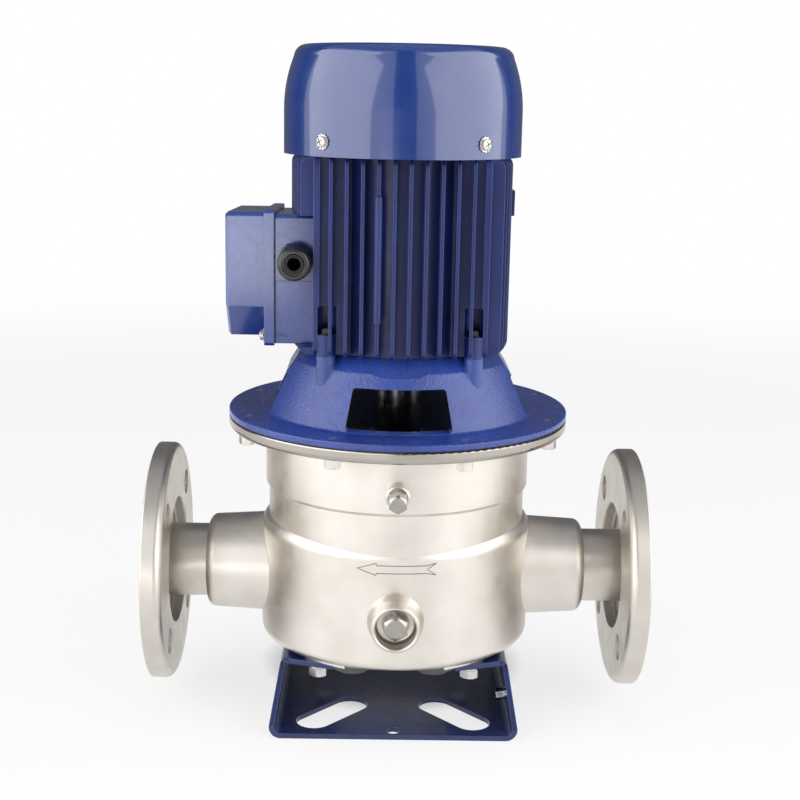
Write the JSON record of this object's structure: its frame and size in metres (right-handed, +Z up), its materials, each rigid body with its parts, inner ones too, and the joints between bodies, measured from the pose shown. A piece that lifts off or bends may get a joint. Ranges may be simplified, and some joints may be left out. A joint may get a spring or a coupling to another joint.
{
  "type": "vertical in-line centrifugal pump",
  "caption": "Vertical in-line centrifugal pump: stainless bowl casing with flanged side ports, cast lantern and finned electric motor, on a folded sheet base.",
  "frame": {"origin": "on the floor under the pump's vertical axis, the middle of the base bracket's underside", "axes": "+Z up along the shaft; the ports lie along X with the suction flange at +X; the vent plug, drain plug and cable gland face -Y"},
  "size_m": [0.3342, 0.2314, 0.4523],
  "materials": {
    "blue_paint": "gloss enamel, blue",
    "cast_blue": "blue paint over a cast surface",
    "stainless": "satin stainless steel",
    "zinc_steel": "bright plated steel",
    "dark_steel": "oiled dark steel",
    "bearing_steel": "ground and polished",
    "black_rubber": "matt black rubber",
    "seal_face": "carbon and ceramic seal faces, matt",
    "copper_wire": "varnished copper winding",
    "rotor_aluminium": "cast aluminium and laminated steel",
    "black_plastic": "black moulded plastic",
    "board_plastic": "brown moulding",
    "brass_stud": "plain brass"
  },
  "bodies": {
    "pump_body": {"base_bracket": "blue_paint", "foot_pads": "stainless", "base_bolts": "zinc_steel", "earth_screw": "zinc_steel", "pump_casing": "stainless", "casing_bosses": "stainless", "vent_plug": "stainless", "drain_plug": "stainless", "inlet_nozzle": "stainless", "outlet_nozzle": "stainless", "inlet_pipe": "stainless", "outlet_pipe": "stainless", "inlet_flange": "stainless", "outlet_flange": "stainless", "suction_elbow": "stainless", "wear_ring": "stainless", "casing_cover": "stainless", "cover_o_ring": "black_rubber", "seal_seat": "seal_face", "casing_gasket": "black_rubber", "casing_bolts": "zinc_steel", "lantern": "cast_blue", "lip_seal": "black_rubber", "motor_frame": "blue_paint", "stator_core": "dark_steel", "stator_windings": "copper_wire", "lower_bearing_outer_ring": "bearing_steel", "upper_bearing_outer_ring": "bearing_steel", "wave_spring": "zinc_steel", "end_shield": "cast_blue", "end_shield_bolts": "zinc_steel", "frame_bolts": "zinc_steel", "fan_cowl": "blue_paint", "cowl_screws": "zinc_steel", "terminal_box": "cast_blue", "terminal_box_gasket": "black_rubber", "terminal_box_lid": "blue_paint", "lid_screws": "zinc_steel", "terminal_board": "board_plastic", "terminal_studs": "brass_stud", "gland_body": "black_plastic", "gland_nut": "black_plastic", "gland_seal": "black_rubber"},
    "rotating_set": {"pump_shaft": "dark_steel", "coupling_screws": "dark_steel", "shaft_keys": "dark_steel", "impeller": "stainless", "impeller_nut": "stainless", "seal_ring": "seal_face", "seal_bellows": "black_rubber", "motor_shaft": "dark_steel", "rotor_core": "rotor_aluminium", "lower_bearing_inner_ring": "bearing_steel", "upper_bearing_inner_ring": "bearing_steel", "cooling_fan": "black_plastic", "fan_circlip": "dark_steel"},
    "lower_ball_set": {"lower_bearing_balls": "bearing_steel", "lower_bearing_cage": "bearing_steel"},
    "upper_ball_set": {"upper_bearing_balls": "bearing_steel", "upper_bearing_cage": "bearing_steel"}
  },
  "joints": [
    {"name": "shaft_spin", "type": "hinge", "parent": "pump_body", "child": "rotating_set", "pos_m": [0, 0, 0.3], "axis": [0, 0, 1], "continuous": true},
    {"name": "lower_ball_spin", "type": "hinge", "parent": "pump_body", "child": "lower_ball_set", "pos_m": [0, 0, 0.248], "axis": [0, 0, 1], "continuous": true},
    {"name": "upper_ball_spin", "type": "hinge", "parent": "pump_body", "child": "upper_ball_set", "pos_m": [0, 0, 0.378], "axis": [0, 0, 1], "continuous": true}
  ],
  "couplings": [
    {"joint": "lower_ball_spin", "follows": "shaft_spin", "ratio": 0.3836},
    {"joint": "upper_ball_spin", "follows": "shaft_spin", "ratio": 0.3836}
  ]
}
